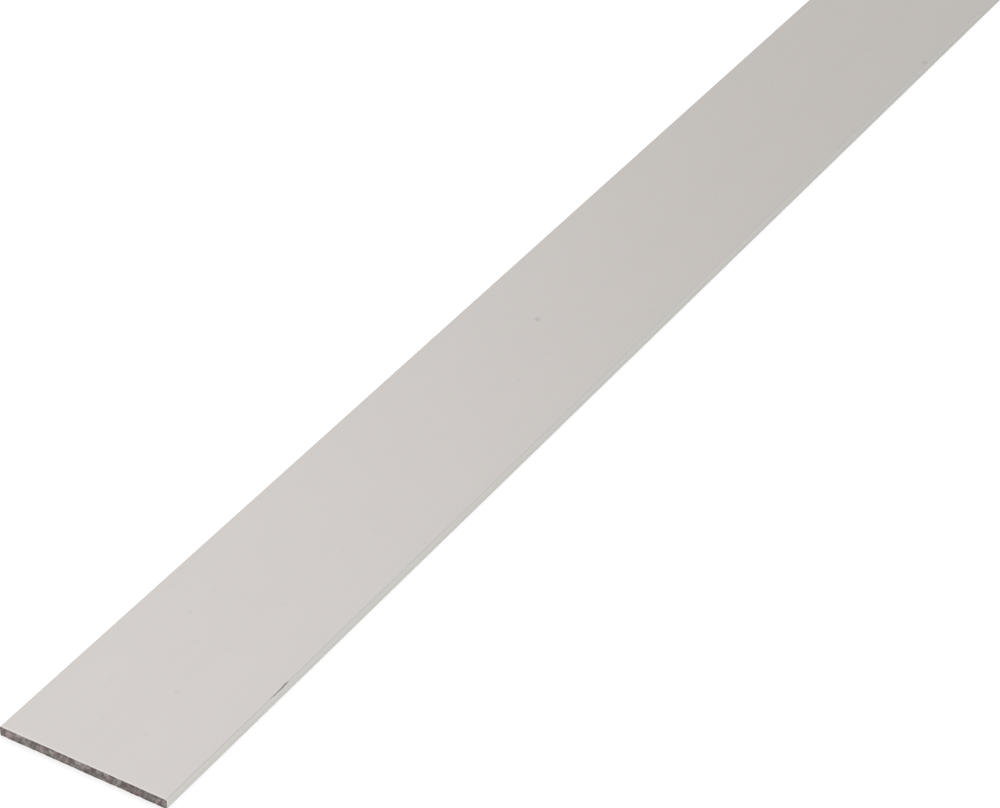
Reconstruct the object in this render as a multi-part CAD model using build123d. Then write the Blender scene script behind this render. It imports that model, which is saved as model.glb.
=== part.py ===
from build123d import *

import math
import os

# An extruded aluminium flat bar, lying flat on one of its two wide faces: one solid, cut to its stock length.
# +X runs along the bar, +Y across its width and +Z up through its thickness, from the middle of the underside.
# All sizes are in millimetres.

# The section, as the extrusion die gives it
BAR_WIDTH = 35.0
BAR_THICKNESS = 2.0
ARRIS_RADIUS = 0.3  # rounding of the four long arrises

# The stock length, between two square sawn ends
BAR_LENGTH = 1000.0

# The nick that handling has left in the upper arris on the -Y side
NICK_LENGTH = 5.5
NICK_WIDTH = 0.34
NICK_DEPTH = 0.16  # below the rounded arris
NICK_FROM_END = 33.3  # from the sawn end at -X to the middle of the nick
NICK_TILT = 60.0  # degrees below the level, at which the nick runs into the bar


def bar_blank():
    """The plain bar: the rounded section, standing on its lower face, pulled out to the stock length."""
    outline = RectangleRounded(BAR_WIDTH, BAR_THICKNESS, ARRIS_RADIUS)
    section = Plane.YZ * Pos(0, BAR_THICKNESS / 2) * outline
    return extrude(section, BAR_LENGTH / 2, both=True)


def nick_wheel(radius):
    """A wheel about its own Y axis, with a V-shaped rim that is the nick's width at the nick's depth."""
    half_width = NICK_WIDTH / 2 * radius / NICK_DEPTH
    rim = Polyline((radius, 0), (0, half_width), (0, -half_width), close=True)
    return revolve(make_face(rim), Axis.Y)


def nick_cutter():
    """The wheel where it bites the arris, so that the nick is the wanted length and pointed at both ends."""
    radius = ((NICK_LENGTH / 2) ** 2 + NICK_DEPTH**2) / (2 * NICK_DEPTH)

    tilt = math.radians(NICK_TILT)
    inward = Vector(0, math.cos(tilt), -math.sin(tilt))
    arris_centre = Vector(
        NICK_FROM_END - BAR_LENGTH / 2,
        ARRIS_RADIUS - BAR_WIDTH / 2,
        BAR_THICKNESS - ARRIS_RADIUS,
    )
    hub = arris_centre - inward * (ARRIS_RADIUS - NICK_DEPTH + radius)

    # The wheel's own X axis runs along the arris and its own Z axis into the bar
    return Plane(origin=hub, x_dir=(1, 0, 0), z_dir=inward) * nick_wheel(radius)


def flat_bar():
    """The bar with its nick."""
    return bar_blank() - nick_cutter()


os.makedirs("parts", exist_ok=True)
export_step(flat_bar(), "parts/flat_bar.step")
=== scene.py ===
"""Dresses a flat bar of satin anodised aluminium and lights it on a plain pale floor.

Lengths are in metres, in the bar's own frame: +X runs along the bar, +Y across its width and +Z up
through its thickness, from the middle of the underside.
"""

import logging
import math
from collections.abc import Iterable, Sequence
from dataclasses import dataclass, field
from enum import Enum, IntEnum

import bpy
import numpy as np
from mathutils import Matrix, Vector, noise


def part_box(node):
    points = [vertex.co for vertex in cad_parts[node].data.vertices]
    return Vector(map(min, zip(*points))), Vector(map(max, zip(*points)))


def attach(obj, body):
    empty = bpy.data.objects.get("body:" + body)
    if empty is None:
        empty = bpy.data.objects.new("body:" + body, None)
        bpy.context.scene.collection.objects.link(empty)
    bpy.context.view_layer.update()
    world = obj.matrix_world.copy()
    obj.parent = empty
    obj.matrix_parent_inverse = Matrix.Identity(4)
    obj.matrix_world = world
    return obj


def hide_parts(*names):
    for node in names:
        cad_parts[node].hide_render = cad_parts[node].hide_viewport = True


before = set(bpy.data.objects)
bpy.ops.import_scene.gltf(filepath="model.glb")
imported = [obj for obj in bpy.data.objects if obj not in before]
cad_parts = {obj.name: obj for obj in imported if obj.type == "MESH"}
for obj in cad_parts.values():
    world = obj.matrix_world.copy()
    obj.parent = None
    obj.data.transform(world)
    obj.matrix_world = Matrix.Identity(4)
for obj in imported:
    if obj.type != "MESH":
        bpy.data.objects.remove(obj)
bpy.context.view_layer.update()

LOG = logging.getLogger("flat_bar")

MM = 0.001
WHITE = (1.0, 1.0, 1.0)
CAD_NODE = "flat_bar"
BODY = "root"

Triple = tuple[float, float, float]
Socket = bpy.types.NodeSocket
Feed = Socket | float | Sequence[float]

# Noise is 0 on its own grid points, so a coordinate that nothing sets lies halfway between two of them
OFF_GRID = 0.5


class BarEnd(Enum):
    """The two sawn ends, by the sign of X on which each lies."""

    NEAR = -1
    FAR = 1


class Slot(IntEnum):
    """The bar's material slots, in the order in which its mesh holds them."""

    SKIN = 0
    SAWN = 1


def mm(x: float, y: float, z: float) -> Triple:
    """Three lengths, given in millimetres."""
    return x * MM, y * MM, z * MM


def add_object(name: str, data: bpy.types.ID) -> bpy.types.Object:
    """Adds an object to the scene.

    Args:
        name: Its name.
        data: Its mesh, lamp or camera.

    Returns:
        The object, at the frame's origin.
    """
    added = bpy.data.objects.new(name, data)
    bpy.context.scene.collection.objects.link(added)
    return added


def empty_tree(owner: bpy.types.Material | bpy.types.World) -> bpy.types.NodeTree:
    """Gives a material or a world an empty node tree.

    Args:
        owner: The material or the world.

    Returns:
        Its tree.
    """
    owner.use_nodes = True
    owner.node_tree.nodes.clear()
    return owner.node_tree


# --- The bar's shape ------------------------------------------------------------------------------


@dataclass(frozen=True)
class BarSection:
    """The bar's cross-section: a rectangle with rounded arrises, standing on Z = 0.

    Attributes:
        width: Overall width, along Y.
        thickness: Overall thickness, along Z.
        arris_radius: Rounding of the four long arrises.
        arris_steps: Steps on each half of an arris.
        margin: Width of the strip of mesh that keeps a flat's shading level up to its arris.
    """

    width: float
    thickness: float
    arris_radius: float = 0.3 * MM
    arris_steps: int = 8
    margin: float = 0.06 * MM

    @property
    def arc_steps(self) -> int:
        """Steps of a side that lie on its two half arrises and its two margins."""
        return 2 * self.arris_steps + 2

    @property
    def arc_step(self) -> float:
        """Length of one step on an arris, which is the shortest of the outline's steps."""
        return self.arris_radius * math.pi / 4 / self.arris_steps

    def side(self, size: float, depth: float, steps: int) -> np.ndarray:
        """One side, from the middle of one arris to the middle of the next.

        Args:
            size: The section's size along this side.
            depth: The section's size square to this side.
            steps: The number of equal steps on the flat, between its two margins.

        Returns:
            One row for each point: its place along the side, and how far out from the centre it lies.
        """
        reach = size / 2 - self.arris_radius
        rise = depth / 2 - self.arris_radius
        inner = np.linspace(self.margin - reach, reach - self.margin, steps + 1)
        places = np.concatenate([[-reach], inner, [reach]])
        flat = np.column_stack([places, np.full_like(places, depth / 2)])

        angle = np.linspace(math.pi / 4, 0, self.arris_steps, endpoint=False)
        along = -reach - self.arris_radius * np.sin(angle)
        out = rise + self.arris_radius * np.cos(angle)
        arc = np.column_stack([along, out])
        return np.concatenate([arc, flat, arc[::-1] * (-1, 1)])

    def outline(self, flat_steps: int, edge_steps: int) -> np.ndarray:
        """The whole outline, from the lower arris at -Y along the underside, and on round.

        Args:
            flat_steps: Equal steps across the top, and across the underside.
            edge_steps: Equal steps up each of the two edges.

        Returns:
            One row of Y and Z for each point, with no point given twice.
        """
        wide = self.side(self.width, self.thickness, flat_steps)[:-1]
        high = self.side(self.thickness, self.width, edge_steps)[:-1]
        under = wide * (1, -1)
        left = high[:, ::-1]
        sides = np.concatenate([under, left, -under, -left])
        return sides + (0, self.thickness / 2)


@dataclass(frozen=True)
class ArrisNick:
    """A pointed nick in the upper arris at -Y, as a wheel with a V-shaped rim would bite it.

    Attributes:
        length: Length along the arris.
        width: Width across the arris.
        depth: Depth below the rounded arris.
        from_end: Distance of its middle from the near end.
        tilt: Angle below the level, at which it runs into the bar.
        tear: How unevenly its faces are torn.
        tear_size: Size of that unevenness.
        darkest_from: Share of the depth at which it is as dark and rough as it gets.
        near_point_share: How dark and rough its near point is beside its far half.
    """

    length: float = 5.5 * MM
    width: float = 0.34 * MM
    depth: float = 0.16 * MM
    from_end: float = 33.3 * MM
    tilt: float = math.radians(60)
    tear: float = 0.02 * MM
    tear_size: float = 0.2 * MM
    darkest_from: float = 0.08
    near_point_share: float = 0.8

    @property
    def wheel_radius(self) -> float:
        """The radius of the wheel that leaves a nick of this length and depth."""
        return ((self.length / 2) ** 2 + self.depth**2) / (2 * self.depth)

    @property
    def inward(self) -> np.ndarray:
        """The direction in which the nick runs into the bar."""
        return np.array([0, math.cos(self.tilt), -math.sin(self.tilt)])

    def hub(self, section: BarSection, near_end: float) -> np.ndarray:
        """Where the wheel's hub is.

        Args:
            section: The bar's section.
            near_end: The X of the near end.

        Returns:
            The hub's place.
        """
        arris_y = section.arris_radius - section.width / 2
        arris_z = section.thickness - section.arris_radius
        arris_centre = np.array([near_end + self.from_end, arris_y, arris_z])
        return arris_centre - self.inward * (section.arris_radius - self.depth + self.wheel_radius)

    def press(
        self, points: np.ndarray, section: BarSection, near_end: float
    ) -> tuple[np.ndarray, np.ndarray]:
        """Presses points of the skin onto the wheel's rim, where it reaches them.

        Args:
            points: One row of X, Y and Z for each point.
            section: The bar's section.
            near_end: The X of the near end.

        Returns:
            The points as pressed, and from 0 to 1 how much darker and rougher each is made.
        """
        place = points - self.hub(section, near_end)
        along, deep = place[:, 0], place @ self.inward
        aside = np.abs(place @ np.cross((1, 0, 0), self.inward))
        half_width = self.width / 2 * self.wheel_radius / self.depth
        rim = self.wheel_radius * (1 - aside / half_width)
        reached = rim > np.hypot(along, deep)

        tears = np.array([noise.noise(Vector(point) / self.tear_size) for point in points])
        bite = np.sqrt(np.maximum(rim**2 - along**2, 0)) - deep + self.tear * tears
        bite = np.where(reached, np.maximum(bite, 0), 0)
        ramp = np.interp(along, [-self.length / 2, self.length / 4], [self.near_point_share, 1])
        nick_mask = (bite / (self.darkest_from * self.depth)).clip(0, 1) * ramp
        return points + bite[:, None] * self.inward, nick_mask


# Where in the noise each end's relief lies, so that the two ends differ
RELIEF_SEEDS = {BarEnd.NEAR: 11.3, BarEnd.FAR: 47.9}


@dataclass(frozen=True)
class SawCut:
    """The relief that a saw leaves on an end, and the chips along the end's lower edge.

    Attributes:
        end: Which end this is.
        blade_radius: Radius of the blade, whose teeth draw arcs on the end.
        blade_side: Distance of the blade's hub from the bar's middle, along Y.
        arc_gap: Distance between the arcs.
        arc_depth: Depth of the arcs.
        torn_size: Size of the largest torn patches.
        torn_depth: Depth of the torn patches.
        torn_layers: Layers of ever smaller patches.
        setback: How far arcs and patches of no height lie behind the plane, as a share of their depths.
        chip_size: Length of a chip along the lower edge.
        chip_depth: How far the deepest chip reaches up, and in from the end.
        chip_height: Height up to which a chip moves the metal.
        chip_steepness: How steeply a chip reaches its depth.
    """

    end: BarEnd
    blade_radius: float = 125 * MM
    blade_side: float = 113 * MM
    arc_gap: float = 0.4 * MM
    arc_depth: float = 0.025 * MM
    torn_size: float = 1.2 * MM
    torn_depth: float = 0.04 * MM
    torn_layers: int = 3
    setback: float = 0.25
    chip_size: float = 0.6 * MM
    chip_depth: float = 0.02 * MM
    chip_height: float = 0.15 * MM
    chip_steepness: float = 2.0

    @property
    def seed(self) -> float:
        """This cut's own place in the noise."""
        return RELIEF_SEEDS[self.end]

    def torn(self, y: float, z: float) -> float:
        """The height of the torn patches at one place, from about -1 to 1."""
        sizes = (self.torn_size / 2**layer for layer in range(self.torn_layers))
        return sum(noise.noise((y / size, z / size, self.seed)) * size / self.torn_size for size in sizes)

    def chipped(self, places: np.ndarray) -> np.ndarray:
        """How strongly a chip moves each point.

        Args:
            places: One row of Y and Z for each point.

        Returns:
            From 0, not at all, to 1, as much as the deepest chip.
        """
        bites = np.array([noise.noise((y / self.chip_size, self.seed, OFF_GRID)) for y in places[:, 0]])
        nearness = (1 - places[:, 1] / self.chip_height).clip(0, 1)
        return (self.chip_steepness * bites).clip(0, 1) * nearness

    def cut(self, places: np.ndarray, x: float) -> np.ndarray:
        """Cuts an end's points back from a plane.

        Args:
            places: One row of Y and Z for each point.
            x: The X of the plane, which no point passes.

        Returns:
            One row of X, Y and Z for each point.
        """
        blade_height = math.sqrt(self.blade_radius**2 - self.blade_side**2)
        from_hub = np.hypot(places[:, 0] - self.blade_side, places[:, 1] - blade_height)
        arcs = np.array([noise.noise((radius / self.arc_gap, self.seed, OFF_GRID)) for radius in from_hub])
        torn = np.array([self.torn(y, z) for y, z in places])
        chips = self.chip_depth * self.chipped(places)
        relief = self.arc_depth * (self.setback + arcs) + self.torn_depth * (self.setback + torn)
        depth = np.maximum(relief, 0) + chips
        return np.column_stack([x - self.end.value * depth, places[:, 0], places[:, 1] + chips])


@dataclass(frozen=True)
class Patch:
    """A rectangle of the texture map.

    Attributes:
        left: Its left side.
        low: Its lower side.
        wide: Its width.
        high: Its height.
    """

    left: float
    low: float
    wide: float
    high: float

    def at(self, across: float, up: float) -> tuple[float, float]:
        """The place on the map at these shares of the patch's width and height."""
        return self.left + self.wide * across, self.low + self.high * up


@dataclass(frozen=True)
class TextureMap:
    """Lays the bar out on a square: its skin in strips, one above the other, then the ends and the nick.

    Attributes:
        strips: Number of equal lengths that the skin is cut into.
        gap: Space between patches.
        end_wide: Width of an end's patch.
        end_high: Height of an end's patch, and of the nick's.
    """

    strips: int = 3
    gap: float = 0.006
    end_wide: float = 0.79
    end_high: float = 0.045

    def strip(self, index: int) -> Patch:
        """The patch of a strip of the skin, counted from the near end."""
        pitch = (1 - 2 * (self.end_high + self.gap)) / self.strips
        return Patch(self.gap, pitch * index + self.gap, 1 - 2 * self.gap, pitch - self.gap)

    def sawn(self, end: BarEnd) -> Patch:
        """The patch of a sawn end."""
        rows_down = 2 if end is BarEnd.NEAR else 1
        return Patch(self.gap, 1 - rows_down * (self.end_high + self.gap), self.end_wide, self.end_high)

    def nick(self) -> Patch:
        """The patch of the arris round the nick, beside an end's."""
        left = self.end_wide + 2 * self.gap
        return Patch(left, self.sawn(BarEnd.NEAR).low, 1 - left - self.gap, self.end_high)


@dataclass(frozen=True)
class SkinArea:
    """A stretch of the skin, and the patch of the texture map that it has.

    Attributes:
        patch: The patch.
        stations: The distances from the near end between which the stretch lies.
        ways: The distances round the section between which it lies.
    """

    patch: Patch
    stations: tuple[float, float]
    ways: tuple[float, float]

    def shares(self, station: float, way: float) -> tuple[float, float]:
        """How far along and how far round the stretch a place lies, each from 0 to 1 inside it."""
        along = (station - self.stations[0]) / (self.stations[1] - self.stations[0])
        return along, (way - self.ways[0]) / (self.ways[1] - self.ways[0])

    def holds(self, station: float, way: float) -> bool:
        """Whether a place lies in the stretch."""
        return all(0 < share < 1 for share in self.shares(station, way))


@dataclass(frozen=True)
class Ring:
    """One outline of the skin, in place.

    Attributes:
        station: Its distance from the near end.
        indices: Its points' numbers in the mesh, with the first again at the end.
        way: Each one's distance round the section from the first, where the last has the whole girth.
    """

    station: float
    indices: list[int]
    way: np.ndarray


@dataclass
class MeshDraft:
    """Points and faces on their way to becoming a mesh.

    Attributes:
        points: The points, in the blocks in which they were added.
        count: The number of points.
        faces: Each face's points, counter-clockwise as seen from outside.
        corners: The place on the texture map of each corner of each face.
        slots: The material slot of each face.
    """

    points: list[np.ndarray] = field(default_factory=list)
    count: int = 0
    faces: list[tuple[int, ...]] = field(default_factory=list)
    corners: list[tuple[float, float]] = field(default_factory=list)
    slots: list[int] = field(default_factory=list)

    def add_points(self, points: np.ndarray) -> list[int]:
        """Adds points.

        Args:
            points: One row of X, Y and Z for each.

        Returns:
            Their numbers in the mesh.
        """
        self.points.append(points)
        self.count += len(points)
        return list(range(self.count - len(points), self.count))

    def add_face(self, face: Sequence[int], corners: Iterable[tuple[float, float]], slot: Slot) -> None:
        """Adds a face.

        Args:
            face: Its points' numbers, counter-clockwise as seen from outside.
            corners: Each one's place on the texture map.
            slot: Its material slot.
        """
        self.faces.append(tuple(face))
        self.corners.extend(corners)
        self.slots.append(int(slot))

    def mesh(self, name: str) -> bpy.types.Mesh:
        """Makes the mesh, smooth but for the sharp edges where the skin meets a sawn end.

        Args:
            name: The mesh's name.

        Returns:
            The new mesh.
        """
        mesh = bpy.data.meshes.new(name)
        mesh.from_pydata(np.concatenate(self.points).tolist(), [], self.faces)
        mesh.polygons.foreach_set("material_index", self.slots)
        mesh.polygons.foreach_set("use_smooth", [True] * len(self.faces))
        layer = mesh.uv_layers.new(name="OFBake")
        layer.uv.foreach_set("vector", np.array(self.corners, np.float32).ravel())

        slots_at: dict[tuple[int, int], set[int]] = {}
        for polygon in mesh.polygons:
            for key in polygon.edge_keys:
                slots_at.setdefault(key, set()).add(polygon.material_index)
        mesh.edges.foreach_set("use_edge_sharp", [len(slots_at[edge.key]) > 1 for edge in mesh.edges])
        mesh.update()
        return mesh


@dataclass
class FlatBar:
    """The bar: its skin with the nick in it, and its two sawn ends, as one closed mesh.

    Attributes:
        low: The lowest corner of its box.
        high: The highest corner of its box.
        nick: The nick in the upper arris.
        layout: Its texture map.
        flat_steps: Steps across the top on the plain length of the skin.
        edge_steps: Steps up an edge there.
        finer_across: How many times finer the mesh is across the top, where the skin meets an end.
        finer_up: How many times finer it is up an edge, there.
        ring_gap: Greatest distance between two outlines of the skin.
        nick_gap: Distance between them along the nick.
        end_gaps: Distances from an end of its fine outlines.
        plain_from: Distance from an end of the first plain outline.
    """

    low: Vector
    high: Vector
    nick: ArrisNick = ArrisNick()
    layout: TextureMap = TextureMap()
    flat_steps: int = 14
    edge_steps: int = 2
    finer_across: int = 24
    finer_up: int = 6
    ring_gap: float = 12 * MM
    nick_gap: float = 0.08 * MM
    end_gaps: tuple[float, ...] = (0.12 * MM, 0.35 * MM)
    plain_from: float = 1.2 * MM

    def __post_init__(self) -> None:
        """Works out the section and its outlines from the box, and starts the mesh."""
        size = self.high - self.low
        self.length = size.x
        self.section = BarSection(width=size.y, thickness=size.z)
        self.plain = self.section.outline(self.flat_steps, self.edge_steps)
        self.fine = self.section.outline(
            self.flat_steps * self.finer_across, self.edge_steps * self.finer_up
        )
        self.draft = MeshDraft()
        self.nick_mask: dict[int, float] = {}

        half = self.nick.length / 2 + self.nick_gap
        self.nick_reach = self.nick.from_end - half, self.nick.from_end + half
        self.areas = self.skin_areas()

    @staticmethod
    def way_round(outline: np.ndarray) -> np.ndarray:
        """Each point's distance round an outline from its first, and last the whole girth."""
        steps = np.linalg.norm(np.roll(outline, -1, 0) - outline, axis=1)
        return np.concatenate([[0], np.cumsum(steps)])

    def skin_areas(self) -> list[SkinArea]:
        """Lays the skin out on the texture map.

        Returns:
            The areas, where the nick's comes before the strips, one of which it lies in.
        """
        # The outline's last side goes down the edge at -Y, from the middle of the arris that holds the nick
        way = self.way_round(self.plain)
        middle = way[-1 - self.edge_steps - self.section.arc_steps]
        arc = self.section.arc_step * self.section.arris_steps
        cuts = np.linspace(0, self.length, self.layout.strips + 1)
        nick = SkinArea(self.layout.nick(), self.nick_reach, (middle - arc, middle + arc))
        strips = [
            SkinArea(self.layout.strip(index), (cuts[index], cuts[index + 1]), (0.0, way[-1]))
            for index in range(self.layout.strips)
        ]
        return [nick, *strips]

    def stations(self) -> list[float]:
        """Spaces out the plain outlines.

        Returns:
            Their distances from the near end.
        """
        start, stop = self.nick_reach
        _, _, *later_strips = self.areas
        cuts = [strip.stations[0] for strip in later_strips]
        held = [self.plain_from, start, stop, *cuts, self.length - self.plain_from]
        stations: list[float] = []
        for first, last in zip(held, held[1:]):
            gap = self.nick_gap if first == start else self.ring_gap
            steps = math.ceil((last - first) / gap)
            stations += np.linspace(first, last, steps, endpoint=False).tolist()
        return [*stations, held[-1]]

    def at_station(self, station: float, outline: np.ndarray) -> np.ndarray:
        """An outline's points at this distance from the near end."""
        return np.column_stack([np.full(len(outline), self.low.x + station), outline])

    def add_ring(self, station: float, outline: np.ndarray, points: np.ndarray) -> Ring:
        """Adds an outline's points to the mesh.

        Args:
            station: Its distance from the near end.
            outline: One row of Y and Z for each point of the untouched section.
            points: One row of X, Y and Z for each, as it lies.

        Returns:
            The outline in place.
        """
        indices = self.draft.add_points(points)
        return Ring(station, [*indices, indices[0]], self.way_round(outline))

    def add_plain_ring(self, station: float) -> Ring:
        """Adds a plain outline, with the nick pressed into it where it passes.

        Args:
            station: Its distance from the near end.

        Returns:
            The outline in place.
        """
        points = self.at_station(station, self.plain)
        pressed, nick_mask = self.nick.press(points, self.section, self.low.x)
        ring = self.add_ring(station, self.plain, pressed)
        self.nick_mask |= {ring.indices[i]: float(nick_mask[i]) for i in np.flatnonzero(nick_mask)}
        return ring

    def add_end(self, cut: SawCut) -> list[Ring]:
        """Adds a sawn end and the fine outlines behind it.

        Args:
            cut: The saw cut.

        Returns:
            The outlines, from the end inwards.
        """
        end_x = self.low.x if cut.end is BarEnd.NEAR else self.high.x
        sawn = cut.cut(self.fine, end_x)
        rings = [self.add_ring(end_x - self.low.x, self.fine, sawn)]
        self.fill_end(rings[0], cut, end_x)
        for gap in self.end_gaps:
            fade = 1 - gap / self.end_gaps[-1]
            outline = self.fine + fade * (sawn[:, 1:] - self.fine)
            station = end_x - self.low.x - cut.end.value * gap
            rings.append(self.add_ring(station, self.fine, self.at_station(station, outline)))
        return rings

    def fill_end(self, ring: Ring, cut: SawCut, end_x: float) -> None:
        """Fills a sawn end with a grid that meets the skin's outline.

        Args:
            ring: The skin's outline at this end.
            cut: The saw cut.
            end_x: The X of the end.
        """
        # The grid's border takes its points from the outline, from the lower corner at -Y and on round
        columns = self.flat_steps * self.finer_across + self.section.arc_steps
        rows = self.edge_steps * self.finer_up + self.section.arc_steps
        across, up = np.arange(columns + 1), np.arange(rows + 1)
        spot = np.zeros((rows + 1, columns + 1), int)
        spot[0] = across
        spot[:, columns] = columns + up
        spot[rows, ::-1] = columns + rows + across
        spot[:0:-1, 0] = 2 * columns + rows + up[:-1]

        # The places inside follow from the four sides, as on a stretched sheet
        place = self.fine[spot]
        left_share = (1 - across / columns)[None, :, None]
        low_share = (1 - up / rows)[:, None, None]
        beside = left_share * place[:, :1] + (1 - left_share) * place[:, -1:]
        above = low_share * place[:1] + (1 - low_share) * place[-1:]
        level = low_share * beside[:1] + (1 - low_share) * beside[-1:]
        place[1:-1, 1:-1] = (beside + above - level)[1:-1, 1:-1]

        index = np.array(ring.indices)[spot]
        inner = self.draft.add_points(cut.cut(place[1:-1, 1:-1].reshape(-1, 2), end_x))
        index[1:-1, 1:-1] = np.reshape(inner, (rows - 1, columns - 1))
        patch = self.layout.sawn(cut.end)
        shares = place / (self.section.width, self.section.thickness) + (0.5, 0)
        for row, column in np.ndindex(rows, columns):
            loop = [(row, column), (row, column + 1), (row + 1, column + 1), (row + 1, column)]
            if cut.end is BarEnd.NEAR:
                loop.reverse()
            corners = [patch.at(*shares[corner]) for corner in loop]
            self.draft.add_face([int(index[corner]) for corner in loop], corners, Slot.SAWN)

    def join(self, first: Ring, second: Ring) -> None:
        """Closes the skin between two outlines, either of which may be the finer.

        Args:
            first: The outline nearer the near end.
            second: The next outline.
        """
        plain = min(first, second, key=lambda ring: len(ring.indices))
        near_marks, far_marks = (
            np.searchsorted(ring.way, plain.way - self.section.arc_step / 2) for ring in (first, second)
        )
        station = (first.station + second.station) / 2
        for step in range(len(plain.way) - 1):
            loop = [(first, i) for i in range(near_marks[step], near_marks[step + 1] + 1)]
            loop += [(second, i) for i in range(far_marks[step + 1], far_marks[step] - 1, -1)]
            way = (plain.way[step] + plain.way[step + 1]) / 2
            area = next(area for area in self.areas if area.holds(station, way))
            corners = [area.patch.at(*area.shares(ring.station, ring.way[i])) for ring, i in loop]
            self.draft.add_face([ring.indices[i] for ring, i in loop], corners, Slot.SKIN)

    def build(self, skin: bpy.types.Material, sawn: bpy.types.Material) -> bpy.types.Object:
        """Builds the mesh and dresses it.

        Args:
            skin: The finish of the skin.
            sawn: The finish of the sawn ends.

        Returns:
            The bar, at the frame's origin.
        """
        near, far = (self.add_end(SawCut(end)) for end in BarEnd)
        rings = near + [self.add_plain_ring(station) for station in self.stations()] + far[::-1]
        for first, second in zip(rings, rings[1:]):
            self.join(first, second)
        mesh = self.draft.mesh("satin_bar")
        nick_mask = mesh.attributes.new("nick_mask", "FLOAT", "POINT")
        for index, share in self.nick_mask.items():
            nick_mask.data[index].value = share
        mesh.materials.append(skin)
        mesh.materials.append(sawn)
        return add_object("satin_bar", mesh)


# --- Finishes -------------------------------------------------------------------------------------


class MixSocket(IntEnum):
    """The places of the mix node's sockets for colours: three inputs and, last, the output."""

    SHARE = 0
    FIRST = 6
    SECOND = 7
    RESULT = 2


@dataclass(frozen=True)
class NodeBench:
    """Puts nodes into one node tree and joins them up.

    Attributes:
        tree: The node tree.
    """

    tree: bpy.types.NodeTree

    def put(
        self, kind: str, feeds: dict[str | int, Feed] | None = None, **settings: object
    ) -> bpy.types.Node:
        """Adds a node.

        Args:
            kind: The node's type.
            feeds: What goes into its inputs: a socket to join, or a plain value.
            settings: Its own settings.

        Returns:
            The new node.
        """
        node = self.tree.nodes.new(kind)
        for name, value in settings.items():
            setattr(node, name, value)
        for name, feed in (feeds or {}).items():
            if isinstance(feed, Socket):
                self.tree.links.new(feed, node.inputs[name])
            else:
                node.inputs[name].default_value = feed
        return node

    def math(self, operation: str, *feeds: Feed, clamp: bool = False) -> Socket:
        """Works out a number from others."""
        node = self.put("ShaderNodeMath", dict(enumerate(feeds)), operation=operation, use_clamp=clamp)
        return node.outputs[0]

    def vector(self, operation: str, *feeds: Feed) -> Socket:
        """Works out a vector from others."""
        node = self.put("ShaderNodeVectorMath", dict(enumerate(feeds)), operation=operation)
        return node.outputs["Vector"]

    def measure(self, operation: str, *feeds: Feed) -> Socket:
        """Works out a number from vectors."""
        node = self.put("ShaderNodeVectorMath", dict(enumerate(feeds)), operation=operation)
        return node.outputs["Value"]

    def mixed(self, first: Triple, second: Triple, share: Socket) -> Socket:
        """A colour between two others."""
        feeds = {MixSocket.SHARE: share, MixSocket.FIRST: (*first, 1), MixSocket.SECOND: (*second, 1)}
        return self.put("ShaderNodeMix", feeds, data_type="RGBA").outputs[MixSocket.RESULT]

    def place(self) -> Socket:
        """The place on the surface, in the frame of the object that has it."""
        return self.put("ShaderNodeTexCoord").outputs["Object"]


@dataclass(frozen=True)
class Unevenness:
    """One layer of uneven shade.

    Attributes:
        size: Its size along X, Y and Z.
        contrast: How strongly it shades.
        detail: How much finer detail it holds.
        lean: Angle by which it is turned about X.
        seed: Where in the noise it lies.
    """

    size: Triple
    contrast: float
    detail: float = 2.0
    lean: float = 0.0
    seed: float = 0.0


@dataclass(frozen=True)
class Mark:
    """A small spot that is darker or lighter than the metal round it.

    Attributes:
        centre: Its middle.
        reach: Its half sizes along X, Y and Z.
        shade: How much darker it makes the metal, or how much lighter if below zero.
    """

    centre: Triple
    reach: Triple
    shade: float


@dataclass(frozen=True)
class GroupBench(NodeBench):
    """A bench for a shader node group.

    Attributes:
        given: The node that has the group's inputs.
        result: The node that takes its outputs.
    """

    given: bpy.types.Node
    result: bpy.types.Node

    @classmethod
    def start(cls, name: str, inputs: dict[str, float | Triple], outputs: Sequence[str]) -> "GroupBench":
        """Starts a group.

        Args:
            name: The group's name.
            inputs: Each input's name and its default.
            outputs: The names of the outputs, which are all numbers.

        Returns:
            The group's bench.
        """
        tree = bpy.data.node_groups.new(name, "ShaderNodeTree")
        for socket_name, default in inputs.items():
            kind = "NodeSocketFloat" if isinstance(default, float) else "NodeSocketVector"
            tree.interface.new_socket(socket_name, in_out="INPUT", socket_type=kind).default_value = default
        for socket_name in outputs:
            tree.interface.new_socket(socket_name, in_out="OUTPUT", socket_type="NodeSocketFloat")
        return cls(tree, tree.nodes.new("NodeGroupInput"), tree.nodes.new("NodeGroupOutput"))

    def give(self, name: str, value: Socket) -> None:
        """Puts a value out of the group."""
        self.tree.links.new(value, self.result.inputs[name])


NOISE_MEAN = 0.5  # of the noise node
RAG_SCALE = 1.3  # waves of a mark's ragged outline, to each half size of the mark
RAG_DETAIL = 2.0
MARK_OUTER = 1.5  # distance from a mark's middle, in its half sizes and with the rag added, where it ends
MARK_INNER = 0.8  # the same, up to which it is at its full


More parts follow.
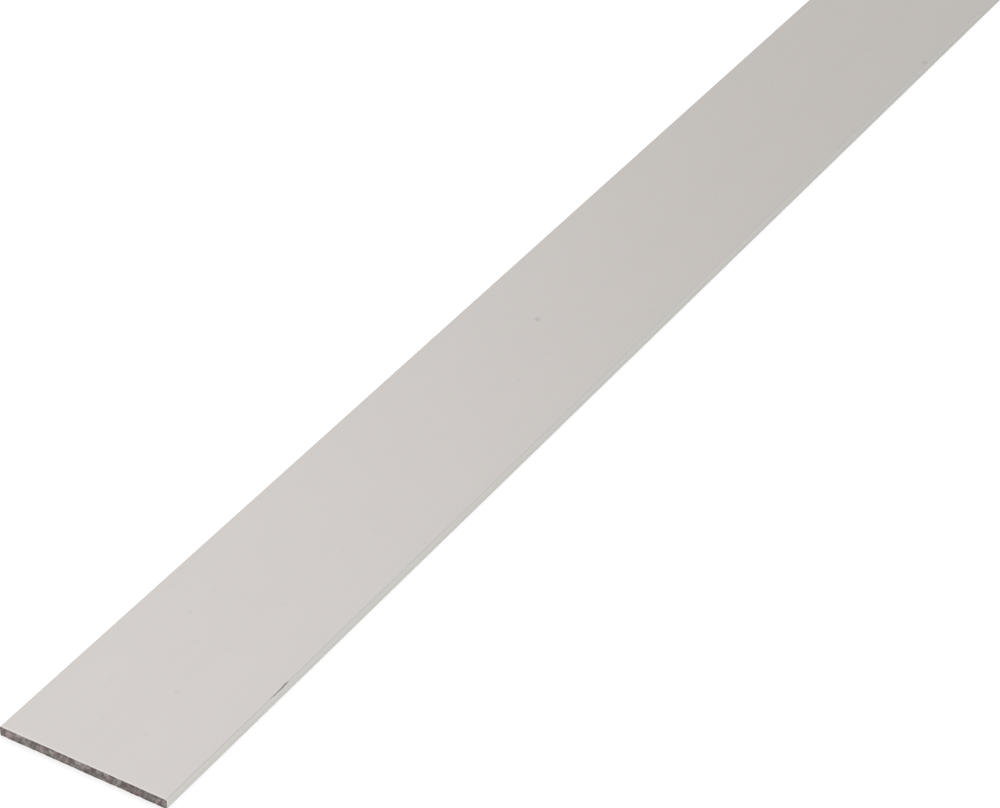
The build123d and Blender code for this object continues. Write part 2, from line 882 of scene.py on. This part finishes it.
@dataclass(frozen=True)
class SharedEffects:
    """The effects that the bar's finishes share, each a shader node group.

    Attributes:
        uneven: A level that varies from place to place.
        mark: A ragged spot.
        edge_band: Masks along the cut edges and along the arrises, which place painted highlights and
            painted shade there.
    """

    uneven: bpy.types.NodeTree
    mark: bpy.types.NodeTree
    edge_band: bpy.types.NodeTree

    @classmethod
    def build(cls, low: Vector, high: Vector) -> "SharedEffects":
        """Builds the groups.

        Args:
            low: The lowest corner of the bar's box.
            high: The highest corner of the bar's box.

        Returns:
            The three groups.
        """
        return cls(cls.uneven_group(), cls.mark_group(), cls.edge_band_group(low, high))

    @staticmethod
    def uneven_group() -> bpy.types.NodeTree:
        """Makes noise round zero, stretched to its size along each axis and turned about X.

        Returns:
            The group.
        """
        inputs = {"Size": (MM, MM, MM), "Lean": 0.0, "Detail": 2.0, "Seed": 0.0}
        bench = GroupBench.start("uneven_level", inputs, ["Level"])
        given = bench.given.outputs
        turn = {"Vector": bench.place(), "Angle": given["Lean"]}
        turned = bench.put("ShaderNodeVectorRotate", turn, rotation_type="X_AXIS").outputs[0]
        spread = bench.vector("DIVIDE", turned, given["Size"])
        feeds = {"Vector": spread, "W": given["Seed"], "Detail": given["Detail"], "Scale": 1.0}
        level = bench.put("ShaderNodeTexNoise", feeds, noise_dimensions="4D").outputs[0]
        bench.give("Level", bench.math("SUBTRACT", level, NOISE_MEAN))
        return bench.tree

    @staticmethod
    def mark_group() -> bpy.types.NodeTree:
        """Makes a mask that is 1 in the middle of a spot and 0 past its ragged edge.

        Returns:
            The group.
        """
        inputs = {"Centre": (0.0, 0.0, 0.0), "Reach": (MM, MM, MM)}
        bench = GroupBench.start("ragged_mark", inputs, ["Mask"])
        given, place = bench.given.outputs, bench.place()
        offset = bench.vector("DIVIDE", bench.vector("SUBTRACT", place, given["Centre"]), given["Reach"])
        spread = bench.vector("DIVIDE", place, given["Reach"])
        feeds = {"Vector": spread, "Scale": RAG_SCALE, "Detail": RAG_DETAIL}
        rag = bench.put("ShaderNodeTexNoise", feeds).outputs[0]
        ragged = bench.math("ADD", bench.measure("LENGTH", offset), rag)
        feeds = {"Value": ragged, "From Min": MARK_OUTER, "From Max": MARK_INNER}
        mask = bench.put("ShaderNodeMapRange", feeds, interpolation_type="SMOOTHSTEP").outputs[0]
        bench.give("Mask", mask)
        return bench.tree

    @staticmethod
    def edge_band_group(low: Vector, high: Vector) -> bpy.types.NodeTree:
        """Makes masks that are 1 on a cut edge, or on an arris, and fall to 0 within the reach.

        Args:
            low: The lowest corner of the bar's box.
            high: The highest corner of the bar's box.

        Returns:
            The group.
        """
        bench = GroupBench.start("edge_band_masks", {"Reach": MM}, ["Cut", "Arris"])
        centred = bench.vector("SUBTRACT", bench.place(), (low + high) / 2)
        inside = bench.vector("SUBTRACT", (high - low) / 2, bench.vector("ABSOLUTE", centred))
        depth = bench.put("ShaderNodeSeparateXYZ", {0: inside}).outputs
        from_skin = bench.math("MINIMUM", depth["Y"], depth["Z"])
        distances = {
            "Cut": bench.math("MAXIMUM", depth["X"], from_skin),
            "Arris": bench.math("MAXIMUM", depth["Y"], depth["Z"]),
        }
        for name, distance in distances.items():
            share = bench.math("DIVIDE", distance, bench.given.outputs["Reach"])
            bench.give(name, bench.math("SUBTRACT", 1.0, share, clamp=True))
        return bench.tree


@dataclass(frozen=True)
class FinishBench(NodeBench):
    """A bench for a finish, with the shared effects at hand.

    Attributes:
        effects: The shared effects.
        material: The material whose tree this is.
    """

    effects: SharedEffects
    material: bpy.types.Material

    @classmethod
    def start(cls, name: str, effects: SharedEffects) -> "FinishBench":
        """Starts a material with an empty tree.

        Args:
            name: The material's name.
            effects: The shared effects.

        Returns:
            The finish's bench.
        """
        material = bpy.data.materials.new(name)
        return cls(empty_tree(material), effects, material)

    def level(self, layer: Unevenness) -> Socket:
        """A layer's level, round zero."""
        feeds = {"Size": layer.size, "Lean": layer.lean, "Detail": layer.detail, "Seed": layer.seed}
        return self.put("ShaderNodeGroup", feeds, node_tree=self.effects.uneven).outputs[0]

    def add_layers(self, base: Feed, *layers: Unevenness) -> Socket:
        """Adds layers of unevenness to a number, each by its contrast.

        Args:
            base: The number.
            layers: The layers.

        Returns:
            The uneven number.
        """
        for layer in layers:
            base = self.math("MULTIPLY_ADD", self.level(layer), layer.contrast, base)
        return base

    def edge_band(self, reach: float, edge: str) -> Socket:
        """The mask of a kind of edge, "Cut" or "Arris"."""
        return self.put("ShaderNodeGroup", {"Reach": reach}, node_tree=self.effects.edge_band).outputs[edge]

    def darkened(self, shade: Feed, mask: Socket, loss: float) -> Socket:
        """A shade with this share of it lost where the mask is full."""
        return self.math("MULTIPLY", shade, self.math("MULTIPLY_ADD", mask, -loss, 1.0))

    def marked(self, shade: Feed, marks: Iterable[Mark]) -> Socket:
        """Works marks into a shade.

        Args:
            shade: The shade.
            marks: The marks.

        Returns:
            The marked shade.
        """
        for mark in marks:
            feeds = {"Centre": mark.centre, "Reach": mark.reach}
            mask = self.put("ShaderNodeGroup", feeds, node_tree=self.effects.mark).outputs[0]
            shade = self.darkened(shade, mask, mark.shade)
        return shade

    def metal(self, colour: Socket, roughness: Socket, height: Socket, rise: float) -> bpy.types.Material:
        """Ends the tree in a metal surface.

        Args:
            colour: Its colour.
            roughness: Its roughness.
            height: The height of its grain.
            rise: The distance that a height of 1 stands for.

        Returns:
            The finished material.
        """
        bump = self.put("ShaderNodeBump", {"Height": height, "Distance": rise}).outputs[0]
        feeds = {"Base Color": colour, "Metallic": 1.0, "Roughness": roughness, "Normal": bump}
        surface = self.put("ShaderNodeBsdfPrincipled", feeds).outputs[0]
        self.put("ShaderNodeOutputMaterial", {"Surface": surface})
        return self.material


@dataclass(frozen=True)
class SatinSkin:
    """Satin anodised aluminium, as it comes from the die.

    Attributes:
        colour: Its colour.
        roughness: Its mean roughness.
        layers: The layers of uneven shade.
        grain: The fine grain of the satin.
        grain_rise: Height of the grain.
        speck_gap: Mean distance between the small specks that lie all over.
        speck_reach: Greatest half size of such a speck.
        speck_loss: How much darker such a speck is.
        burr_and_highlight_reach: Width of the bright rim at a cut edge, partly a bright burr and partly a
            painted highlight.
        burr_and_highlight_gain: How much brighter the rim is.
        arris_highlight_reach: Width of the painted highlight along each long arris.
        arris_highlight_colour: The lighter, greener colour painted there as a highlight.
        nick_loss: How much darker the nick is where it bites deepest.
        nick_rough: How much rougher it is there.
        marks: The larger marks, each where it lies.
    """

    colour: Triple = (0.497, 0.467, 0.443)
    roughness: float = 0.36
    layers: tuple[Unevenness, ...] = (
        Unevenness(mm(400, 0.35, 0.35), 0.02, 1.0, seed=1.0),
        Unevenness(mm(1500, 3, 3), 0.018, 1.0, seed=2.0),
        Unevenness(mm(14, 9, 9), 0.02, 3.0, seed=3.0),
    )
    grain: Unevenness = Unevenness(mm(0.3, 0.15, 0.15), 0.06, 2.0, seed=4.0)
    grain_rise: float = 0.002 * MM
    speck_gap: float = 11 * MM
    speck_reach: float = 0.7 * MM
    speck_loss: float = 0.075
    burr_and_highlight_reach: float = 0.65 * MM
    burr_and_highlight_gain: float = 0.14
    arris_highlight_reach: float = 0.35 * MM
    arris_highlight_colour: Triple = (0.517, 0.503, 0.475)
    nick_loss: float = 0.2
    nick_rough: float = 0.2
    marks: tuple[Mark, ...] = (
        Mark(mm(-348.8, 3.4, 2), mm(1, 0.9, 1), 0.15),
        Mark(mm(-476.8, -2.6, 2), mm(0.7, 0.6, 1), 0.06),
        Mark(mm(-220.8, -16.7, 2), mm(1.2, 0.9, 1), 0.11),
        # Lighter on the lip beside the nick: a painted highlight.
        Mark(mm(-466.9, -17.0, 2), mm(2.8, 0.18, 0.2), -0.07),
        # Darker spots at the two ends of the nick.
        Mark(mm(-469.0, -17.33, 1.95), mm(1.0, 0.14, 0.14), 0.22),
        Mark(mm(-465.3, -17.2, 1.98), mm(1.1, 0.17, 0.16), 0.36),
    )

    def specks(self, bench: FinishBench) -> Socket:
        """A mask of small specks all over, one in each cell and each of its own size.

        Args:
            bench: The finish's bench.

        Returns:
            The mask.
        """
        axes = bench.put("ShaderNodeSeparateXYZ", {0: bench.place()}).outputs
        round_way = bench.math("ADD", axes["Y"], axes["Z"])
        unrolled = bench.put("ShaderNodeCombineXYZ", {"X": axes["X"], "Y": round_way}).outputs[0]
        feeds = {"Vector": unrolled, "Scale": 1 / self.speck_gap}
        cells = bench.put("ShaderNodeTexVoronoi", feeds, voronoi_dimensions="2D").outputs
        reach = bench.math("MULTIPLY", cells["Color"], self.speck_reach / self.speck_gap)
        return bench.math("SUBTRACT", 1.0, bench.math("DIVIDE", cells["Distance"], reach), clamp=True)

    def material(self, effects: SharedEffects) -> bpy.types.Material:
        """Builds the material.

        Args:
            effects: The shared effects.

        Returns:
            The material.
        """
        bench = FinishBench.start("satin_anodised_aluminium", effects)
        # Darker and rougher in the nick, the more so the deeper it bites.
        nick_mask = bench.put("ShaderNodeAttribute", attribute_name="nick_mask").outputs["Fac"]
        pits_and_marks = bench.marked(bench.darkened(1.0, self.specks(bench), self.speck_loss), self.marks)
        shade = bench.math("MULTIPLY", bench.add_layers(1.0, *self.layers), pits_and_marks)
        # A brighter rim along each cut edge: partly a bright burr, partly a painted highlight.
        shade = bench.darkened(shade, bench.edge_band(self.burr_and_highlight_reach, "Cut"), -self.burr_and_highlight_gain)
        shade = bench.darkened(shade, nick_mask, self.nick_loss)
        # A painted highlight along the four long arrises: a lighter, greener colour there.
        arris_highlight_mask = bench.edge_band(self.arris_highlight_reach, "Arris")
        tone = bench.mixed(self.colour, self.arris_highlight_colour, arris_highlight_mask)
        feeds = {"Vector": tone, "Scale": shade}
        colour = bench.put("ShaderNodeVectorMath", feeds, operation="SCALE").outputs["Vector"]

        roughness = bench.add_layers(self.roughness, self.grain)
        roughness = bench.math("MULTIPLY_ADD", nick_mask, self.nick_rough, roughness)
        height = bench.math("MULTIPLY_ADD", pits_and_marks, 1 / self.speck_loss, bench.level(self.grain))
        return bench.metal(colour, roughness, height, self.grain_rise)


STROKE_LEAN = math.radians(-27)  # of the strokes that the blade leaves, about X


@dataclass(frozen=True)
class SawnFace:
    """Bare aluminium, torn and smeared by a saw.

    Attributes:
        dark: Colour of the deepest tears, with painted shade that darkens the whole end far below bare
            aluminium.
        light: Colour of the smeared metal, with the same painted shade.
        cool: Tint of the metal where it leans to green.
        warm: Tint where it leans to red.
        roughness: Its mean roughness.
        balance: How light the metal is on the whole, from dark to light.
        patches: The torn patches.
        strokes: The strokes of the blade.
        teeth: The finer strokes of its teeth.
        rareness: How much rarer the light places are than the dark ones, where 1 is no rarer.
        hue: Which way the metal leans, from cool to warm.
        hue_mean: Which way it leans on the whole.
        grain: The fine grain.
        grain_rise: Height of the grain.
        edge_tear_and_shade_reach: Width of the darker band along the outline, partly torn metal and partly
            painted shade.
        edge_tear_and_shade_loss: How much darker that band is where it is torn.
        edge_tears: How sharply the band breaks up into tears.
        torn_share: How much of the band is torn.
    """

    dark: Triple = (0.09, 0.072, 0.068)
    light: Triple = (0.427, 0.373, 0.35)
    cool: Triple = (0.965, 1.05, 1.035)
    warm: Triple = (1.11, 0.935, 1.01)
    roughness: float = 0.58
    balance: float = 0.5
    patches: Unevenness = Unevenness(mm(1.3, 1.3, 1.3), 1.6, 3.0, seed=5.0)
    strokes: Unevenness = Unevenness(mm(1, 0.6, 2.4), 0.8, 3.0, STROKE_LEAN, 6.0)
    teeth: Unevenness = Unevenness(mm(1, 0.33, 1.7), 0.75, 3.0, STROKE_LEAN, 11.0)
    rareness: float = 1.6
    hue: Unevenness = Unevenness(mm(2.2, 2.2, 2.2), 2.1, 1.0, seed=7.0)
    hue_mean: float = 0.36
    grain: Unevenness = Unevenness(mm(0.12, 0.12, 0.12), 0.2, 3.0, seed=8.0)
    grain_rise: float = 0.01 * MM
    edge_tear_and_shade_reach: float = 0.6 * MM
    edge_tear_and_shade_loss: float = 0.28
    edge_tears: float = 2.5
    torn_share: float = 0.5

    def material(self, effects: SharedEffects) -> bpy.types.Material:
        """Builds the material.

        Args:
            effects: The shared effects.

        Returns:
            The material.
        """
        bench = FinishBench.start("sawn_aluminium", effects)
        share = bench.add_layers(self.balance, self.patches, self.strokes, self.teeth, self.grain)
        patch = bench.level(self.patches)
        # A darker band round the end's outline where it is torn: partly torn metal, partly painted shade.
        tears = bench.math("MULTIPLY_ADD", patch, -self.edge_tears, self.torn_share, clamp=True)
        torn_and_shaded_edge = bench.math("MULTIPLY", bench.edge_band(self.edge_tear_and_shade_reach, "Cut"), tears)
        share = bench.math("MULTIPLY_ADD", torn_and_shaded_edge, -self.edge_tear_and_shade_loss, share, clamp=True)
        share = bench.math("POWER", share, self.rareness)
        tint = bench.mixed(self.cool, self.warm, bench.add_layers(self.hue_mean, self.hue))
        # The end's colours hold painted shade: bare aluminium is far lighter than either.
        colour = bench.vector("MULTIPLY", bench.mixed(self.dark, self.light, share), tint)
        height = bench.add_layers(0.0, self.grain, self.teeth)
        return bench.metal(colour, bench.add_layers(self.roughness, self.grain), height, self.grain_rise)


# --- The studio -----------------------------------------------------------------------------------


def background_rays(bench: NodeBench) -> Socket:
    """Finds the rays that see the background as it is: from the camera, off gloss and through glass.

    Args:
        bench: The bench of the tree that asks.

    Returns:
        1 for such a ray, and 0 for any other.
    """
    rays = bench.put("ShaderNodeLightPath").outputs
    seen = bench.math("MAXIMUM", rays["Is Camera Ray"], rays["Is Glossy Ray"])
    return bench.math("MAXIMUM", seen, rays["Is Transmission Ray"])


@dataclass(frozen=True)
class PaleFloor:
    """A plain white floor that keeps a soft shadow.

    Attributes:
        size: Length of each side.
        drop: How far it lies below the bar.
        colour: The colour that it throws back onto the bar.
        glow: How bright it looks where no light reaches it.
        tint: The colour that it has in the metal's gloss.
        painted_light_pool: How much brighter it looks there, in the middle of a patch of light painted into
            its glow.
        painted_light_middle: Where that painted light is brightest.
        painted_light_reach: How far out the painted light has faded away.
        painted_far_shade: How much darker than its glow it looks there, past the painted light: painted
            shade.
        matt: Colour of the part of it that takes light and shadow.
    """

    size: float = 12.0
    drop: float = 0.01 * MM
    colour: Triple = (0.8, 0.8, 0.8)
    glow: float = 0.5
    tint: Triple = (0.93, 1.0, 1.0)
    painted_light_pool: float = 0.314
    painted_light_middle: Triple = (-0.5, 0.0, 0.0)
    painted_light_reach: float = 0.32
    painted_far_shade: float = 0.046
    matt: Triple = (0.7, 0.7, 0.7)

    def material(self) -> bpy.types.Material:
        """Builds the floor's material.

        Returns:
            The material.
        """
        material = bpy.data.materials.new("pale_floor")
        bench = NodeBench(empty_tree(material))
        lit, matt = (
            bench.put("ShaderNodeBsdfDiffuse", {"Color": (*colour, 1)}).outputs[0]
            for colour in (self.colour, self.matt)
        )
        in_gloss = bench.put("ShaderNodeLightPath").outputs["Is Glossy Ray"]
        # In the metal's gloss the floor is painted brighter round the near end and darker further off: a
        # painted patch of light and painted shade.
        away = bench.measure("DISTANCE", bench.place(), self.painted_light_middle)
        near = bench.math("MULTIPLY_ADD", away, -1 / self.painted_light_reach, 1.0, clamp=True)
        level = bench.math("MULTIPLY_ADD", near, self.painted_light_pool, -self.painted_far_shade)
        strength = bench.math("MULTIPLY_ADD", in_gloss, level, self.glow)
        shade = bench.mixed(WHITE, self.tint, in_gloss)
        glow = bench.put("ShaderNodeEmission", {"Color": shade, "Strength": strength}).outputs[0]
        white = bench.put("ShaderNodeAddShader", {0: matt, 1: glow}).outputs[0]
        mix = bench.put("ShaderNodeMixShader", {0: background_rays(bench), 1: lit, 2: white})
        bench.put("ShaderNodeOutputMaterial", {"Surface": mix.outputs[0]})
        return material

    def build(self) -> bpy.types.Object:
        """Lays the floor.

        Returns:
            The floor.
        """
        half = self.size / 2
        around = ((-half, -half), (half, -half), (half, half), (-half, half))
        mesh = bpy.data.meshes.new("pale_floor")
        mesh.from_pydata([(x, y, -self.drop) for x, y in around], [], [range(len(around))])
        mesh.materials.append(self.material())
        floor = add_object("pale_floor", mesh)
        return floor


POWER_OF_WHITE = 4.0  # power of an area lamp whose face looks white, to each square metre of the face


@dataclass(frozen=True)
class Softbox:
    """A soft studio lamp.

    Attributes:
        name: Its name.
        heading: Where it stands, turned from +X towards +Y.
        height: Its angle above the floor.
        distance: How far it is from what it lights.
        size: Its width and its height.
        glow: How bright its face is, where 1 is white.
        tint: The colour of its light.
    """

    name: str
    heading: float
    height: float
    distance: float
    size: tuple[float, float]
    glow: float
    tint: Triple = (0.91, 0.94, 1.0)

    def build(self, aim: Vector) -> bpy.types.Object:
        """Hangs the lamp.

        Args:
            aim: The place that it faces.

        Returns:
            The lamp.
        """
        lamp = bpy.data.lights.new(self.name, "AREA")
        lamp.shape = "RECTANGLE"
        lamp.size, lamp.size_y = self.size
        lamp.energy = POWER_OF_WHITE * self.glow * lamp.size * lamp.size_y
        lamp.color = self.tint
        level, rise = math.cos(self.height), math.sin(self.height)
        towards = Vector((level * math.cos(self.heading), level * math.sin(self.heading), rise))
        holder = add_object(self.name, lamp)
        holder.visible_camera = False
        holder.location = aim + towards * self.distance
        holder.rotation_euler = towards.to_track_quat("Z", "Y").to_euler()
        return holder


@dataclass(frozen=True)
class Studio:
    """The light round the bar.

    Attributes:
        ambient: Strength of the plain light that falls from all round.
        aim: The place that the lamps face.
        lamps: The lamps.
    """

    ambient: float = 0.85
    aim: Triple = (-0.4, 0.0, 0.0)
    lamps: tuple[Softbox, ...] = (
        Softbox(
            "back_softbox",
            heading=math.radians(54),
            height=math.radians(50),
            distance=2.2,
            size=(1.6, 1.6),
            glow=0.42,
        ),
        Softbox(
            "side_softbox",
            heading=math.radians(-60),
            height=math.radians(30),
            distance=0.4,
            size=(0.5, 0.5),
            glow=0.15,
        ),
    )

    def build(self) -> None:
        """Sets the world and hangs the lamps."""
        world = bpy.data.worlds.new("plain_studio")
        bench = NodeBench(empty_tree(world))
        plain, white = (
            bench.put("ShaderNodeBackground", {"Color": (*WHITE, 1), "Strength": strength}).outputs[0]
            for strength in (self.ambient, 1.0)
        )
        mix = bench.put("ShaderNodeMixShader", {0: background_rays(bench), 1: plain, 2: white})
        bench.put("ShaderNodeOutputWorld", {"Surface": mix.outputs[0]})
        bpy.context.scene.world = world
        bpy.context.scene.view_settings.view_transform = "Standard"
        for lamp in self.lamps:
            lamp.build(Vector(self.aim))
            LOG.info("hung %s", lamp.name)


@dataclass(frozen=True)
class StudioCamera:
    """The camera, level from side to side.

    Attributes:
        place: Where it stands.
        heading: Where it looks, turned from +X towards +Y.
        fall: How far it looks down.
        lens: Its focal length, in millimetres.
        sensor: The width of its sensor, in millimetres.
        nearest: The distance from which on it sees things.
    """

    place: Triple = mm(-853.23, -303.37, 412.15)
    heading: float = math.radians(32.021)
    fall: float = math.radians(36.112)
    lens: float = 132.07
    sensor: float = 36.0
    nearest: float = 10 * MM

    def build(self) -> bpy.types.Object:
        """Sets up the camera and makes it the scene's.

        Returns:
            The camera.
        """
        camera = bpy.data.cameras.new("studio_camera")
        camera.sensor_width = self.sensor
        camera.sensor_fit = "HORIZONTAL"
        camera.lens = self.lens
        camera.clip_start = self.nearest
        holder = add_object("studio_camera", camera)
        holder.location = self.place
        holder.rotation_euler = (math.pi / 2 - self.fall, 0, self.heading - math.pi / 2)
        bpy.context.scene.camera = holder
        return holder


def main() -> None:
    """Builds the bar and everything round it."""
    logging.basicConfig(level=logging.INFO, format="%(name)s: %(message)s")
    low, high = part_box(CAD_NODE)
    effects = SharedEffects.build(low, high)
    bar = FlatBar(low, high).build(SatinSkin().material(effects), SawnFace().material(effects))
    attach(bar, BODY)
    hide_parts(CAD_NODE)
    LOG.info("built %s with %d faces", bar.name, len(bar.data.polygons))

    floor = PaleFloor().build()
    LOG.info("laid %s", floor.name)
    Studio().build()
    camera = StudioCamera().build()
    LOG.info("set up %s", camera.name)


if __name__ == "__main__":
    main()
